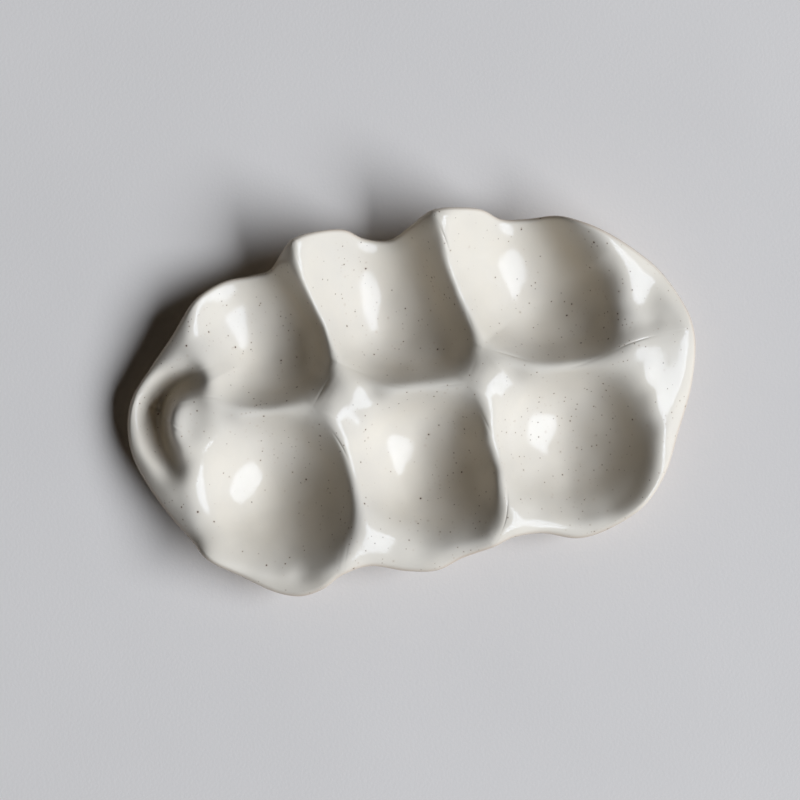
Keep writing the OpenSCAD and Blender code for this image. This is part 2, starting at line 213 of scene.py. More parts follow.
# Waves that smoothing fingers leave: length in millimetres, layer of the noise, and share of hand_wobble
FINGER_WAVES = ((17, 3.0, 1), (9, 8.0, 0.8))

# The luted crease comes and goes along a ridge: length in millimetres and layer of the noise, and the mean
# and the swing of its strength. Away from the rim, and away from where three cups meet, it fades in between
# two distances in millimetres.
SEAM_WAVE = (11, 9.0)
SEAM_MEAN = 0.2
SEAM_SWING = 1.8
SEAM_RIM_FADE = (3.2, 11.2)
SEAM_MEET_FADE = (1.8, 7.8)

# Distance from the lip's edge, in millimetres, over which the glaze is thin, and the mark of it
THIN_REACH = 0.9
THIN_NAME = "thin_glaze"

# Sockets of a Mix node that mixes colours
MIX_FACTOR, MIX_FIRST, MIX_SECOND, MIX_RESULT = 0, 6, 7, 2

# Turn of the tray in the picture. The camera is rolled by it.
PICTURE_TURN = math.radians(11)
# Width and height of the window as shares of its distance, and its direction in the picture, in degrees
WINDOW_SHARES = (1.12, 0.52)
WINDOW_AZIMUTH = 15
WINDOW_ELEVATION = 41
# Where the camera stands over the tray, and half the floor's side, in metres
CAMERA_PLACE = (-0.0042, -0.0007)
FLOOR_HALF = 9
# Width of the camera's sensor, in millimetres
SENSOR_WIDTH = 36


class TraySizes(bpy.types.PropertyGroup):
    """Sizes of the tray: those of the solids, and of the seam and the wobble that the solids leave out."""

    pitch_x: bpy.props.FloatProperty(
        name="Pitch along a row", description="Distance between the hollows along a row",
        default=53 * MM, unit="LENGTH")
    pitch_y: bpy.props.FloatProperty(
        name="Pitch of the rows", description="Distance between the two rows",
        default=53 * MM, unit="LENGTH")
    hollow_r: bpy.props.FloatProperty(
        name="Hollow radius", description="Radius of the round bottom of each hollow",
        default=22 * MM, unit="LENGTH")
    side_slope: bpy.props.FloatProperty(
        name="Side slope", description="Steepest slope of a hollow's side",
        default=math.radians(57), subtype="ANGLE", unit="ROTATION")
    ridge_round: bpy.props.FloatProperty(
        name="Ridge rounding", description="Height over which a side rounds into the ridge beside it",
        default=8 * MM, unit="LENGTH")
    edge_round: bpy.props.FloatProperty(
        name="Edge rounding", description="Height over which a side rounds into the rim beside it",
        default=12 * MM, unit="LENGTH")
    edge_reach: bpy.props.FloatProperty(
        name="Edge reach", description="Distance from the rim at which the ridge rounding takes over",
        default=26 * MM, unit="LENGTH")
    wall: bpy.props.FloatProperty(
        name="Wall", description="Thickness of the clay round a hollow",
        default=4.5 * MM, unit="LENGTH")
    lip_t: bpy.props.FloatProperty(
        name="Lip", description="Thickness of the clay at the rim",
        default=4 * MM, unit="LENGTH")
    foot_r: bpy.props.FloatProperty(
        name="Foot radius", description="Radius of the flat foot under each cup",
        default=8 * MM, unit="LENGTH")
    ridge_h: bpy.props.FloatProperty(
        name="Ridge height", description="Height of the ridges where three cups meet, before rounding",
        default=25 * MM, unit="LENGTH")
    rim_dip: bpy.props.FloatProperty(
        name="Rim dips", description="How far the rim's dips lie below the ridge height",
        default=9 * MM, unit="LENGTH")
    rim_wave: bpy.props.FloatProperty(
        name="Rim wave", description="Rise of the rim from a dip to a crest",
        default=14 * MM, unit="LENGTH")
    roll_w: bpy.props.FloatProperty(
        name="Roll width", description="Width of the strip along the rim that rolls down",
        default=6 * MM, unit="LENGTH")
    roll_drop: bpy.props.FloatProperty(
        name="Roll drop", description="How far that strip rolls down",
        default=2.25 * MM, unit="LENGTH")
    groove_depth: bpy.props.FloatProperty(
        name="Groove depth", description="Depth of the curved groove at the left end",
        default=16 * MM, unit="LENGTH")
    groove_w: bpy.props.FloatProperty(
        name="Groove half width", description="Half width of that groove",
        default=3.4 * MM, unit="LENGTH")
    seam_depth: bpy.props.FloatProperty(
        name="Seam depth", description="Depth of the fine crease that luting leaves along the ridges",
        default=0.3 * MM, unit="LENGTH")
    seam_w: bpy.props.FloatProperty(
        name="Seam half width", description="Half width of that crease",
        default=0.45 * MM, unit="LENGTH")
    hand_wobble: bpy.props.FloatProperty(
        name="Hand wobble", description="How far the finger-smoothed surface wanders",
        default=0.45 * MM, unit="LENGTH")


class GlazeLook(bpy.types.PropertyGroup):
    """Colours and gloss of the glaze and the clay."""

    glaze_colour: bpy.props.FloatVectorProperty(
        name="Glaze", description="Warm white of the glaze",
        default=(0.72, 0.63, 0.5), size=3, subtype="COLOR", min=0, max=1)
    pooled_colour: bpy.props.FloatVectorProperty(
        name="Pooled glaze", description="Slightly darker white where the glaze lies thicker",
        default=(0.675, 0.597, 0.488), size=3, subtype="COLOR", min=0, max=1)
    thin_colour: bpy.props.FloatVectorProperty(
        name="Thin glaze", description="Tan where the glaze runs thin over the lip",
        default=(0.58, 0.44, 0.31), size=3, subtype="COLOR", min=0, max=1)
    halo_colour: bpy.props.FloatVectorProperty(
        name="Halo", description="Rusty stain round an iron speck",
        default=(0.5, 0.37, 0.25), size=3, subtype="COLOR", min=0, max=1)
    speck_colour: bpy.props.FloatVectorProperty(
        name="Specks", description="Iron specks that bleed through the glaze",
        default=(0.075, 0.04, 0.025), size=3, subtype="COLOR", min=0, max=1)
    clay_colour: bpy.props.FloatVectorProperty(
        name="Bare clay", description="Fired clay on the unglazed feet",
        default=(0.45, 0.35, 0.25), size=3, subtype="COLOR", min=0, max=1)
    dark_clay_colour: bpy.props.FloatVectorProperty(
        name="Toasted clay", description="Darker patches of the fired clay",
        default=(0.34, 0.25, 0.17), size=3, subtype="COLOR", min=0, max=1)
    gloss_roughness: bpy.props.FloatProperty(
        name="Gloss roughness", description="Roughness of the glaze where it is smoothest",
        default=0.1, min=0, max=1)


class StageLook(bpy.types.PropertyGroup):
    """Floor, light and camera."""

    floor_colour: bpy.props.FloatVectorProperty(
        name="Floor", description="Pale floor, warm enough to look grey under the cool window light",
        default=(0.745, 0.671, 0.593), size=3, subtype="COLOR", min=0, max=1)
    floor_shade: bpy.props.FloatVectorProperty(
        name="Floor shade", description="Slightly darker patches of the floor",
        default=(0.715, 0.645, 0.57), size=3, subtype="COLOR", min=0, max=1)
    backdrop_colour: bpy.props.FloatVectorProperty(
        name="Backdrop", description="Pale grey behind the floor",
        default=(0.42, 0.425, 0.43), size=3, subtype="COLOR", min=0, max=1)
    window_power: bpy.props.FloatProperty(
        name="Window power", description="Power of the large soft light",
        default=726, unit="POWER")
    window_distance: bpy.props.FloatProperty(
        name="Window distance", description="Distance of that light from the tray",
        default=7, unit="LENGTH")
    window_colour: bpy.props.FloatVectorProperty(
        name="Window colour", description="Cool tint of that light",
        default=(0.893, 1.0, 1.177), size=3, subtype="COLOR", min=0)
    room_light: bpy.props.FloatProperty(
        name="Room light", description="Strength of the even light from all around",
        default=0.02, min=0)
    room_colour: bpy.props.FloatVectorProperty(
        name="Room colour", description="Warm tint of that even light",
        default=(0.9, 0.82, 0.7), size=3, subtype="COLOR", min=0, max=1)
    camera_height: bpy.props.FloatProperty(
        name="Camera height", description="Height of the camera above the floor",
        default=0.6, unit="LENGTH")
    camera_lens: bpy.props.FloatProperty(
        name="Camera lens", description="Focal length of the camera in millimetres",
        default=73.7, unit="CAMERA")


def bend(a, b, c, d, t):
    """Point at t on the smooth curve from b to c."""
    square, cube = 2 * a - 5 * b + 4 * c - d, 3 * b - 3 * c + d - a
    return (2 * b + (c - a) * t + square * t * t + cube * t ** 3) / 2


def loop_curve(points, steps):
    """Smooth closed curve through the points."""
    n = len(points)
    return np.array([bend(points[i - 1], points[i], points[(i + 1) % n], points[(i + 2) % n], k / steps)
                     for i in range(n) for k in range(steps)])


def open_curve(points, steps):
    """Smooth curve from the first point to the last."""
    p = np.vstack([2 * points[0] - points[1], points, 2 * points[-1] - points[-2]])
    curve = [bend(p[i - 1], p[i], p[i + 1], p[i + 2], k / steps)
             for i in range(1, len(points)) for k in range(steps)]
    return np.array(curve + [points[-1]])


def crowd_end(points):
    """A line of points, with more of them near its last one."""
    end, step = points[-1], points[-2] - points[-1]
    near = [end + step * (gap / np.hypot(step[0], step[1])) for gap in LIP_STEPS]
    return np.concatenate([points[:-1], near, [end]])


def soft_min(a, b, rounding):
    """The lower of two heights, rounded off where they are nearly equal."""
    return np.minimum(a, b) - np.maximum(rounding - np.abs(a - b), 0) ** 2 / (4 * rounding)


def ramp(value, start, end):
    """0 up to start, 1 from end on, and even between them."""
    return np.clip((value - start) / (end - start), 0, 1)


def ease(value, start, end):
    """A ramp from 0 to 1 that is gentle at both ends."""
    t = ramp(value, start, end)
    return t ** 2 * (3 - 2 * t)


def slow_noise(x, y, length, layer):
    """Smooth noise over the plan, from -1 to 1, with waves of the given length."""
    places = zip(x.ravel() / length, y.ravel() / length)
    return np.array([noise.noise(Vector((px, py, layer))) for px, py in places]).reshape(x.shape)


class TraySurface:
    """Upper and under surface of the clay, as heights over the plan, in millimetres."""

    def __init__(self, size):
        self.slope = size.side_slope
        lengths = [name for name in size.__annotations__ if name != "side_slope"]
        self.size = {name: getattr(size, name) / MM for name in lengths}
        s = self.size
        plain = loop_curve(np.array([self.plan(k) for k in RIM_KNOTS]), RIM_STEPS)
        self.middle = (plain.min(axis=0) + plain.max(axis=0)) / 2
        self.rim_points = np.array([self.at_rim_height(k) for k in RIM_KNOTS])
        self.rim = loop_curve(self.rim_points, RIM_STEPS)
        self.ridges = {}
        for name, (first, last, _) in RIDGES.items():
            line = self.ridge(name, RIDGE_STEPS)
            if first in RIM_ENDS:
                line = crowd_end(line[::-1])[::-1]
            if last in RIM_ENDS:
                line = crowd_end(line)
            self.ridges[name] = line
        self.wells = {name: self.plan(w) - self.middle for name, w in WELLS.items()}
        groove = [[*(self.plan(k) - self.middle), k[4] * s["groove_depth"]] for k in GROOVE_KNOTS]
        self.groove = open_curve(np.array(groove), RIDGE_STEPS)
        marks = [loop_curve(self.rim_points, MARK_STEPS)]
        marks += [self.ridge(name, MARK_STEPS) for name in RIDGES]
        marks += [np.array([self.at_ridge_height(k) for k in SHOULDERS])]
        self.marks = np.concatenate(marks)
        self.ball_z = math.sqrt((s["hollow_r"] + s["wall"]) ** 2 - s["foot_r"] ** 2)

    def plan(self, place):
        """Where a place of the lists lies, measured from the middle of the grid of hollows."""
        column, row, x, y = place[:4]
        return np.array([column * self.size["pitch_x"] + x, row * self.size["pitch_y"] / 2 + y])

    def at_rim_height(self, knot):
        """A knot of the rim, in the tray's frame."""
        height = self.size["ridge_h"] - self.size["rim_dip"] + knot[4] * self.size["rim_wave"]
        return np.array([*(self.plan(knot) - self.middle), height])

    def at_ridge_height(self, knot):
        """A knot with its height above ridge_h, in the tray's frame."""
        return np.array([*(self.plan(knot) - self.middle), self.size["ridge_h"] + knot[4]])

    def ridge_end(self, name):
        """The end of a ridge, on the rim or where three cups meet."""
        if name in RIM_ENDS:
            return self.rim_points[RIM_ENDS[name]]
        return self.at_ridge_height(MEETS[name])

    def ridge(self, name, steps):
        """Points along a ridge, from its first end to its last."""
        first, last, between = RIDGES[name]
        points = [self.at_ridge_height(k) for k in between]
        return open_curve(np.array([self.ridge_end(first), *points, self.ridge_end(last)]), steps)

    def border(self, cup):
        """Points round a cup, clockwise, and how many of them lie on the rim."""
        (first, last), ridges = BORDERS[cup]
        start = RIM_ENDS[first]
        stop = RIM_ENDS[last] if RIM_ENDS[last] > start else RIM_ENDS[last] + len(RIM_KNOTS)
        run = self.rim[np.arange(start * RIM_STEPS, stop * RIM_STEPS + 1) % len(self.rim)]
        sides = [self.ridges[r[1:]][::-1] if r[0] == "-" else self.ridges[r] for r in ridges]
        back = np.concatenate([side[1:] for side in sides])[:-1]
        return np.concatenate([run, back])[:, :2], len(run)

    def sheet(self, x, y):
        """Sheet of clay that the hollows are pressed into: at each point, a plane fitted to the marks."""
        sums = np.zeros((9, *x.shape))
        for mx, my, mz in self.marks:
            dx, dy = mx - x, my - y
            w = (dx ** 2 + dy ** 2 + HEIGHT_REACH ** 2) ** -2
            sums += np.array([w, w * dx, w * dy, w * dx * dx, w * dx * dy, w * dy * dy,
                              w * mz, w * dx * mz, w * dy * mz])
        ax, ay, axx, axy, ayy, az, axz, ayz = sums[1:] / sums[0]
        cxx, cyy = axx - ax * ax + STIFFNESS ** 2, ayy - ay * ay + STIFFNESS ** 2
        cxy, cxz, cyz = axy - ax * ay, axz - ax * az, ayz - ay * az
        area = cxx * cyy - cxy * cxy
        return az - ((cxz * cyy - cyz * cxy) * ax + (cyz * cxx - cxz * cxy) * ay) / area

    def to_rim(self, x, y):
        """Distance to the rim."""
        best = np.full_like(x, np.inf)
        for a, b in zip(self.rim[:, :2], np.roll(self.rim[:, :2], -1, axis=0)):
            d = b - a
            t = np.clip(((x - a[0]) * d[0] + (y - a[1]) * d[1]) / (d @ d), 0, 1)
            best = np.minimum(best, (x - a[0] - t * d[0]) ** 2 + (y - a[1] - t * d[1]) ** 2)
        return np.sqrt(best)

    def groove_at(self, x, y):
        """Depth of the end groove."""
        deepest = np.zeros_like(x)
        for gx, gy, depth in self.groove:
            d2 = (x - gx) ** 2 + (y - gy) ** 2
            deepest = np.maximum(deepest, depth * np.exp(-d2 / (2 * self.size["groove_w"] ** 2)))
        return deepest

    def stretch(self, cup, x, y):
        """How far a hollow's side reaches out at x, y from its middle. It is round at the foot."""
        values = np.array(STRETCH[cup])
        n = len(values)
        turn = np.arctan2(y, x) / (2 * math.pi) * n % n
        i = np.floor(turn).astype(int) % n
        after, last = values[(i + 1) % n], values[(i + 2) % n]
        reach = bend(values[i - 1], values[i], after, last, turn - np.floor(turn))
        return 1 + (reach - 1) * ease(np.hypot(x, y), self.size["foot_r"], self.size["hollow_r"])

    def bowls(self, x, y, r):
        """The six bowls of radius r: a ball below and a cone above."""
        edge = r * math.sin(self.slope)
        lowest = None
        for cup, (wx, wy) in self.wells.items():
            tx, ty, rise = TROUGHS[cup]
            along = np.maximum(((x - wx) * tx + (y - wy) * ty) / (tx * tx + ty * ty), 0)
            t = np.minimum(along, 1)
            qx, qy = x - wx - t * tx, y - wy - t * ty
            d = np.hypot(qx, qy) / self.stretch(cup, qx, qy)
            bowl = self.ball_z - np.sqrt(r * r - np.minimum(d, edge) ** 2)
            bowl = bowl + math.tan(self.slope) * np.maximum(d - edge, 0) + rise * t * (2 * along - t)
            lowest = bowl if lowest is None else soft_min(lowest, bowl, self.size["ridge_round"])
        return lowest

    def wobble(self, x, y):
        """Slow waves that smoothing fingers leave."""
        waves = sum(share * slow_noise(x, y, length, layer) for length, layer, share in FINGER_WAVES)
        return waves * self.size["hand_wobble"]

    def seam(self, xy, gap):
        """Depth of the luted crease at a distance from a ridge line."""
        s = self.size
        x, y = xy[..., 0], xy[..., 1]
        strength = np.clip(SEAM_MEAN + SEAM_SWING * slow_noise(x, y, *SEAM_WAVE), 0, 1)
        strength = strength * ramp(self.to_rim(x, y), *SEAM_RIM_FADE)
        for name in MEETS:
            meet = self.ridge_end(name)[:2]
            strength = strength * ramp(np.linalg.norm(xy - meet, axis=-1), *SEAM_MEET_FADE)
        return s["seam_depth"] * strength * np.exp(-(gap / s["seam_w"]) ** 2)

    def heights(self, x, y):
        """Heights of the upper and the under surface. At the rim they close in a half round."""
        s = self.size
        gap = self.to_rim(x, y)
        roll = s["roll_drop"] * np.maximum(1 - gap / s["roll_w"], 0) ** 2
        clay = self.sheet(x, y) - roll - self.groove_at(x, y)
        rounding = s["edge_round"] + (s["ridge_round"] - s["edge_round"]) * ease(gap, 0, s["edge_reach"])
        upper = soft_min(clay, self.bowls(x, y, s["hollow_r"]), rounding) + self.wobble(x, y)
        under = soft_min(clay - s["lip_t"], self.bowls(x, y, s["hollow_r"] + s["wall"]), rounding)
        under = np.maximum(under, 0)
        mean = (upper + under) / 2
        opening = np.sqrt(1 - np.maximum(1 - 2 * gap / s["lip_t"], 0) ** 2)
        return mean + (upper - mean) * opening, mean + (under - mean) * opening


def cup_points(surface, cup):
    """Points of one cup, in rings from the hollow's middle to the border: above, then below, then the
    middle above and below. Also the numbers of rings, of points in a ring and of points on the rim."""
    well = surface.wells[cup]
    border, rim_count = surface.border(cup)
    n = len(border)
    out = border - well
    reach = np.hypot(out[:, 0], out[:, 1])
    foot, half = surface.size["foot_r"], surface.size["lip_t"] / 2
    lip = half * (1 - np.cos(np.linspace(math.pi / 2, 0, LIP_ARC_RINGS)))
    inner = foot * np.linspace(0, 1, FOOT_RINGS + 1)[1:]
    shares = np.linspace(0, 1, WALL_RINGS + 1)[1:]
    rings = [np.full(n, r) for r in inner]
    rings += [foot + (reach - lip[0] - foot) * s for s in shares]
    rings += [reach - e for e in lip[1:]]
    rings = np.array(rings)
    xy = well + out / reach[:, None] * rings[..., None]
    upper, under = surface.heights(xy[..., 0], xy[..., 1])
    upper[:, rim_count:] -= surface.seam(xy[:, rim_count:], reach[rim_count:] - rings[:, rim_count:])
    top_middle = surface.heights(*[np.array([v]) for v in well])[0][0]
    points = [np.dstack([xy, upper]).reshape(-1, 3), np.dstack([xy, under]).reshape(-1, 3)]
    points += [[[*well, top_middle], [*well, 0.0]]]
    return np.concatenate(points), len(rings), n, rim_count


def cup_faces(count, n, rim_count):
    """Faces of one cup, as (corners, kind): the glaze, the foot, and the hidden joints between cups.
    On the rim the rings above and below share their last points."""
    top = np.arange(count * n).reshape(count, n)
    low = top + count * n
    low[-1, :rim_count] = top[-1, :rim_count]
    crown, base = 2 * count * n, 2 * count * n + 1
    faces = []
    for i in range(n):
        j = (i + 1) % n
        faces.append(((crown, top[0, j], top[0, i]), "glaze"))
        faces.append(((base, low[0, i], low[0, j]), "foot"))
        for r in range(count - 1):
            faces.append(((top[r, i], top[r, j], top[r + 1, j], top[r + 1, i]), "glaze"))
            kind = "foot" if r < FOOT_RINGS - 1 else "glaze"
            faces.append(((low[r, i], low[r + 1, i], low[r + 1, j], low[r, j]), kind))
        corners = (top[-1, i], top[-1, j], low[-1, j], low[-1, i])
        corners = tuple(dict.fromkeys(corners))
        if len(corners) > 2:
            faces.append((corners, "joint"))
    return faces


def skin_normals(parts):
    """Normals of the skin at the points of each cup. Points of two cups at the same place share one."""
    numbers = {}
    index = {}
    for cup, (points, _) in parts.items():
        places = [tuple(p) for p in np.round(points, PLACE_DECIMALS)]
        index[cup] = np.array([numbers.setdefault(place, len(numbers)) for place in places])
    total = np.zeros((len(numbers), 3))
    for cup, (points, faces) in parts.items():
        for corners, kind in faces:
            if kind == "joint":
                continue
            p = points[list(corners)]
            across = (p[2] - p[0], p[-1] - p[1]) if len(p) == 4 else (p[1] - p[0], p[2] - p[0])
            total[index[cup][list(corners)]] += np.cross(*across)
    total /= np.maximum(np.linalg.norm(total, axis=1), 1e-12)[:, None]
    return {cup: total[index[cup]] for cup in parts}


def cup_mesh(surface, cup, points, faces, normals, materials):
    """Closed mesh of one cup, with the glaze marked where it is thin."""
    used = sorted({int(c) for corners, _ in faces for c in corners})
    place = {old: new for new, old in enumerate(used)}
    mesh = bpy.data.meshes.new("cup_" + cup)
    mesh.from_pydata(points[used] * MM, [], [[place[int(c)] for c in corners] for corners, _ in faces])
    for material in materials:
        mesh.materials.append(material)
    mesh.polygons.foreach_set("material_index", [0 if kind == "glaze" else 1 for _, kind in faces])
    mesh.polygons.foreach_set("use_smooth", [kind != "joint" for _, kind in faces])
    mesh.update()
    gap = surface.to_rim(points[used, 0], points[used, 1])
    thin = mesh.attributes.new(THIN_NAME, "FLOAT", "POINT")
    thin.data.foreach_set("value", np.exp(-(gap / THIN_REACH) ** 2))
    shade = []
    for polygon, (corners, kind) in zip(mesh.polygons, faces):
        for c in corners:
            shade.append(tuple(normals[int(c)] if kind == "glaze" else polygon.normal))
    mesh.normals_split_custom_set(shade)
    return mesh


def add_to_scene(name, data):
    """A new object in the scene."""
    obj = bpy.data.objects.new(name, data)
    bpy.context.scene.collection.objects.link(obj)
    return obj


def make_cups(surface, materials):
    """The six cups as separate closed meshes, shaded as one unbroken skin."""
    low, high = [np.array(corner) / MM for corner in CAD_BOX]
    parts = {}
    for cup in WELLS:
        points, *counts = cup_points(surface, cup)
        parts[cup] = np.clip(points, low, high), cup_faces(*counts)
    normals = skin_normals(parts)
    for cup, (points, faces) in parts.items():
        mesh = cup_mesh(surface, cup, points, faces, normals[cup], materials)
        obj = add_to_scene("glazed_cup_" + cup, mesh)
        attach(obj, "root")
        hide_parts("cup_" + cup)


def new_group(name, inputs, outputs):
    """An empty shader node group with the named sockets, and its input and output nodes."""
    group = bpy.data.node_groups.new(name, "ShaderNodeTree")
    for label, kind in inputs:
        group.interface.new_socket(label, in_out="INPUT", socket_type=kind)
    for label, kind in outputs:
        group.interface.new_socket(label, in_out="OUTPUT", socket_type=kind)
    return group, group.nodes.new("NodeGroupInput"), group.nodes.new("NodeGroupOutput")


def combine(nodes, links, operation, first, second):
    """Two changing values put together."""
    node = nodes.new("ShaderNodeMath")
    node.operation = operation
    links.new(first, node.inputs[0])
    links.new(second, node.inputs[1])
    return node.outputs["Value"]


def blend_value(nodes, links, value, low, high, start=0, end=1):
    """A value spread out, so that start gives low and end gives high, and nothing goes past them."""
    node = nodes.new("ShaderNodeMapRange")
    node.inputs["From Min"].default_value = start
    node.inputs["From Max"].default_value = end
    node.inputs["To Min"].default_value = low
    node.inputs["To Max"].default_value = high
    links.new(value, node.inputs["Value"])
    return node.outputs["Result"]


def mix_colour(nodes, links, factor, first, second):
    """A colour between two, by a factor that changes over the surface. Each is a socket or a colour."""
    node = nodes.new("ShaderNodeMix")
    node.data_type = "RGBA"
    links.new(factor, node.inputs[MIX_FACTOR])
    for socket, colour in ((node.inputs[MIX_FIRST], first), (node.inputs[MIX_SECOND], second)):
        if isinstance(colour, bpy.types.NodeSocket):
            links.new(colour, socket)
        else:
            socket.default_value = (*colour, 1)
    return node.outputs[MIX_RESULT]


def add_bump(nodes, links, shader, height, strength, distance):
    """Fine relief on a shader, from a height that changes over the surface."""
    bump = nodes.new("ShaderNodeBump")
    bump.inputs["Strength"].default_value = strength
    bump.inputs["Distance"].default_value = distance
    links.new(height, bump.inputs["Height"])
    links.new(bump.outputs["Normal"], shader.inputs["Normal"])


def mottle_group():
    """Cloudy patches and a fine grain, both from 0 to 1."""
    group, given, result = new_group(
        "mottle",
        [("Place", "NodeSocketVector"), ("Patches per metre", "NodeSocketFloat"),
         ("Grains per metre", "NodeSocketFloat")],
        [("Patches", "NodeSocketFloat"), ("Grain", "NodeSocketFloat")])
    nodes, links = group.nodes, group.links
    for scale, label, detail in (("Patches per metre", "Patches", 4), ("Grains per metre", "Grain", 2)):
        cloud = nodes.new("ShaderNodeTexNoise")
        cloud.inputs["Detail"].default_value = detail
        links.new(given.outputs["Place"], cloud.inputs["Vector"])
        links.new(given.outputs[scale], cloud.inputs["Scale"])
        spread = blend_value(nodes, links, cloud.outputs["Fac"], low=0, high=1, start=0.3, end=0.7)
        links.new(spread, result.inputs[label])
    return group


def specks_group():
    """Scattered iron specks with a stain round each, thicker in some places than in others."""
    group, given, result = new_group(
        "iron_specks",
        [("Place", "NodeSocketVector"), ("Specks per metre", "NodeSocketFloat"),
         ("Radius", "NodeSocketFloat"), ("Share", "NodeSocketFloat")],
        [("Speck", "NodeSocketFloat"), ("Stain", "NodeSocketFloat")])
    nodes, links = group.nodes, group.links
    cells = nodes.new("ShaderNodeTexVoronoi")
    links.new(given.outputs["Place"], cells.inputs["Vector"])
    links.new(given.outputs["Specks per metre"], cells.inputs["Scale"])
    chance = nodes.new("ShaderNodeSeparateColor")
    links.new(cells.outputs["Color"], chance.inputs["Color"])

    cluster = nodes.new("ShaderNodeTexNoise")
    cluster.inputs["Scale"].default_value = 48
    cluster.inputs["Detail"].default_value = 1
    links.new(given.outputs["Place"], cluster.inputs["Vector"])
    crowd = blend_value(nodes, links, cluster.outputs["Fac"], low=0.35, high=1.6, start=0.42, end=0.66)
    share = combine(nodes, links, "MULTIPLY", crowd, given.outputs["Share"])
    kept = combine(nodes, links, "LESS_THAN", chance.outputs["Red"], share)

    grown = blend_value(nodes, links, chance.outputs["Green"], low=0.5, high=1.3)
    radius = combine(nodes, links, "MULTIPLY", grown, given.outputs["Radius"])
    away = combine(nodes, links, "DIVIDE", cells.outputs["Distance"], radius)
    for label, inner, outer in (("Speck", 0.6, 1.0), ("Stain", 0.8, 2.2)):
        fade = blend_value(nodes, links, away, low=0, high=1, start=outer, end=inner)
        links.new(combine(nodes, links, "MULTIPLY", fade, kept), result.inputs[label])
    return group


def new_material(name):
    """A node material, its nodes and links, its shader and the place on the object."""
    material = bpy.data.materials.new(name)
    material.use_nodes = True
    nodes, links = material.node_tree.nodes, material.node_tree.links
    place = nodes.new("ShaderNodeTexCoord").outputs["Object"]
    return material, nodes, links, nodes["Principled BSDF"], place


def add_group(nodes, links, group, place, **values):
    """The group as a node in a material, with its own values. Names take spaces for underscores."""
    node = nodes.new("ShaderNodeGroup")
    node.node_tree = group
    links.new(place, node.inputs["Place"])
    for name, value in values.items():
        node.inputs[name.replace("_", " ")].default_value = value
    return node


def glaze_material(look, mottle, specks):
    """Glossy warm white glaze: cloudy, tan on the lip, with iron specks of two sizes bleeding through."""
    material, nodes, links, shader, place = new_material("speckled_glaze")
    cloud = add_group(nodes, links, mottle, place, Patches_per_metre=45, Grains_per_metre=420)
    large = add_group(nodes, links, specks, place, Specks_per_metre=270, Radius=0.085, Share=0.7)
    small = add_group(nodes, links, specks, place, Specks_per_metre=560, Radius=0.12, Share=0.45)
    patches = cloud.outputs["Patches"]
    thin = nodes.new("ShaderNodeAttribute")
    thin.attribute_name = THIN_NAME
    edge = combine(nodes, links, "MULTIPLY", thin.outputs["Fac"],
                   blend_value(nodes, links, patches, low=0.35, high=1))

    colour = mix_colour(nodes, links, patches, look.glaze_colour, look.pooled_colour)
    colour = mix_colour(nodes, links, edge, colour, look.thin_colour)
    stain = combine(nodes, links, "MAXIMUM", large.outputs["Stain"], small.outputs["Stain"])
    stain = blend_value(nodes, links, stain, low=0, high=0.35)
    colour = mix_colour(nodes, links, stain, colour, look.halo_colour)
    speck = combine(nodes, links, "MAXIMUM", large.outputs["Speck"],
                    blend_value(nodes, links, small.outputs["Speck"], low=0, high=0.75))
    colour = mix_colour(nodes, links, speck, colour, look.speck_colour)
    links.new(colour, shader.inputs["Base Color"])

    gloss = look.gloss_roughness
    rough = blend_value(nodes, links, patches, low=gloss, high=gloss + 0.08)
    rough = combine(nodes, links, "ADD", rough, blend_value(nodes, links, edge, low=0, high=0.15))
    rough = combine(nodes, links, "ADD", rough, blend_value(nodes, links, speck, low=0, high=0.2))
    links.new(rough, shader.inputs["Roughness"])
    relief = combine(nodes, links, "SUBTRACT",
                     blend_value(nodes, links, cloud.outputs["Grain"], low=0, high=0.25),
                     blend_value(nodes, links, speck, low=0, high=0.6))
    add_bump(nodes, links, shader, relief, strength=0.25, distance=0.2 * MM)
    shader.inputs["IOR"].default_value = 1.5
    shader.inputs["Specular IOR Level"].default_value = 0.2
    return material


def clay_material(look, mottle, specks):
    """Bare fired clay on the feet: gritty, toasted in patches, with iron specks."""
    material, nodes, links, shader, place = new_material("bare_clay")
    cloud = add_group(nodes, links, mottle, place, Patches_per_metre=160, Grains_per_metre=2200)
    grit = add_group(nodes, links, specks, place, Specks_per_metre=520, Radius=0.14, Share=0.8)
    colour = mix_colour(nodes, links, cloud.outputs["Patches"], look.clay_colour, look.dark_clay_colour)
    colour = mix_colour(nodes, links, grit.outputs["Speck"], colour, look.speck_colour)
    links.new(colour, shader.inputs["Base Color"])
    rough = blend_value(nodes, links, cloud.outputs["Grain"], low=0.7, high=0.92)
    links.new(rough, shader.inputs["Roughness"])
    add_bump(nodes, links, shader, cloud.outputs["Grain"], strength=0.4, distance=0.3 * MM)
    return material


def floor_material(stage, mottle):
    """Pale painted board, almost even."""
    material, nodes, links, shader, place = new_material("pale_floor")
    cloud = add_group(nodes, links, mottle, place, Patches_per_metre=9, Grains_per_metre=900)
    colour = mix_colour(nodes, links, cloud.outputs["Patches"], stage.floor_colour, stage.floor_shade)
    links.new(colour, shader.inputs["Base Color"])
    rough = blend_value(nodes, links, cloud.outputs["Grain"], low=0.85, high=0.95)
    links.new(rough, shader.inputs["Roughness"])
    shader.inputs["Specular IOR Level"].default_value = 0.1
    add_bump(nodes, links, shader, cloud.outputs["Grain"], strength=0.1, distance=0.2 * MM)
    return material


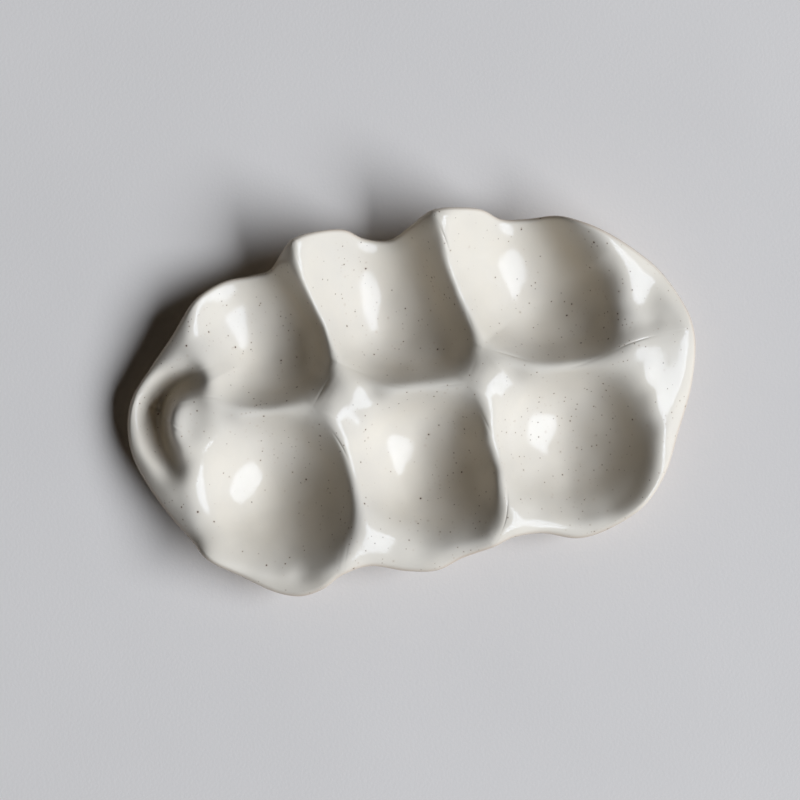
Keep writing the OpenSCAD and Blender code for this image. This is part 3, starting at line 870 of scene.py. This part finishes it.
def room_world(stage):
    """Faint even light from all around, and a pale backdrop where the room is seen or mirrored."""
    world = bpy.data.worlds.new("room")
    world.use_nodes = True
    nodes, links = world.node_tree.nodes, world.node_tree.links
    room = nodes["Background"]
    room.inputs["Color"].default_value = (*stage.room_colour, 1)
    room.inputs["Strength"].default_value = stage.room_light
    backdrop = nodes.new("ShaderNodeBackground")
    backdrop.inputs["Color"].default_value = (*stage.backdrop_colour, 1)
    path = nodes.new("ShaderNodeLightPath")
    seen = combine(nodes, links, "MAXIMUM", path.outputs["Is Camera Ray"], path.outputs["Is Glossy Ray"])
    seen = combine(nodes, links, "MAXIMUM", seen, path.outputs["Is Transmission Ray"])
    mixed = nodes.new("ShaderNodeMixShader")
    links.new(seen, mixed.inputs["Fac"])
    links.new(room.outputs["Background"], mixed.inputs[1])
    links.new(backdrop.outputs["Background"], mixed.inputs[2])
    links.new(mixed.outputs["Shader"], nodes["World Output"].inputs["Surface"])
    return world


def picture_direction(azimuth, elevation):
    """Direction to a light, from degrees clockwise on the picture from its right side, and degrees up."""
    a, e = math.radians(azimuth), math.radians(elevation)
    right, down = math.cos(a), math.sin(a)
    x = right * math.cos(PICTURE_TURN) - down * math.sin(PICTURE_TURN)
    y = -right * math.sin(PICTURE_TURN) - down * math.cos(PICTURE_TURN)
    return Vector((x * math.cos(e), y * math.cos(e), math.sin(e)))


def make_floor(stage):
    """Plain floor that the tray stands on."""
    mesh = bpy.data.meshes.new("floor")
    h = FLOOR_HALF
    mesh.from_pydata([(-h, -h, 0), (h, -h, 0), (h, h, 0), (-h, h, 0)], [], [(0, 1, 2, 3)])
    mottle = bpy.data.node_groups.get("mottle") or mottle_group()
    mesh.materials.append(floor_material(stage, mottle))
    floor = add_to_scene("floor", mesh)


def make_window(stage):
    """Large soft light, like a window."""
    light = bpy.data.lights.new("window", "AREA")
    light.shape = "ELLIPSE"
    light.size, light.size_y = [share * stage.window_distance for share in WINDOW_SHARES]
    light.energy = stage.window_power
    light.color = stage.window_colour
    window = add_to_scene("window", light)
    toward = picture_direction(WINDOW_AZIMUTH, WINDOW_ELEVATION)
    window.location = toward * stage.window_distance
    window.rotation_euler = (-toward).to_track_quat("-Z", "Y").to_euler()


def make_camera(stage):
    """Camera above the tray, looking straight down."""
    data = bpy.data.cameras.new("camera")
    data.sensor_width = SENSOR_WIDTH
    data.lens = stage.camera_lens
    camera = add_to_scene("camera", data)
    camera.location = (*CAMERA_PLACE, stage.camera_height)
    camera.rotation_euler = (0, 0, -PICTURE_TURN)
    bpy.context.scene.camera = camera


class EGGTRAY_OT_cups(bpy.types.Operator):
    """Make the six glazed cups"""

    bl_idname = "eggtray.cups"
    bl_label = "Glazed cups"

    def execute(self, context):
        scene = context.scene
        look = scene.egg_tray_look
        mottle, specks = mottle_group(), specks_group()
        materials = [glaze_material(look, mottle, specks), clay_material(look, mottle, specks)]
        make_cups(TraySurface(scene.egg_tray_sizes), materials)
        return {"FINISHED"}


class EGGTRAY_OT_stage(bpy.types.Operator):
    """Make the floor, the light and the camera"""

    bl_idname = "eggtray.stage"
    bl_label = "Stage"

    def execute(self, context):
        scene = context.scene
        stage = scene.egg_tray_stage
        make_floor(stage)
        make_window(stage)
        make_camera(stage)
        scene.world = room_world(stage)
        scene.view_settings.view_transform = "Standard"
        return {"FINISHED"}


class EGGTRAY_PT_panel(bpy.types.Panel):
    """Lists the steps that make the tray"""

    bl_idname = "EGGTRAY_PT_panel"
    bl_label = "Egg tray"
    bl_space_type = "VIEW_3D"
    bl_region_type = "UI"
    bl_category = "Egg tray"

    def draw(self, context):
        self.layout.operator(EGGTRAY_OT_cups.bl_idname)
        self.layout.operator(EGGTRAY_OT_stage.bl_idname)


CLASSES = (TraySizes, GlazeLook, StageLook, EGGTRAY_OT_cups, EGGTRAY_OT_stage, EGGTRAY_PT_panel)


def register():
    """Register the classes, and give the scene their values."""
    for cls in CLASSES:
        bpy.utils.register_class(cls)
    bpy.types.Scene.egg_tray_sizes = bpy.props.PointerProperty(type=TraySizes)
    bpy.types.Scene.egg_tray_look = bpy.props.PointerProperty(type=GlazeLook)
    bpy.types.Scene.egg_tray_stage = bpy.props.PointerProperty(type=StageLook)


def unregister():
    """Take the values and the classes away again."""
    del bpy.types.Scene.egg_tray_stage
    del bpy.types.Scene.egg_tray_look
    del bpy.types.Scene.egg_tray_sizes
    for cls in reversed(CLASSES):
        bpy.utils.unregister_class(cls)


def main():
    """Make the tray and the stage."""
    register()
    bpy.ops.eggtray.cups()
    bpy.ops.eggtray.stage()


if __name__ == "__main__":
    main()
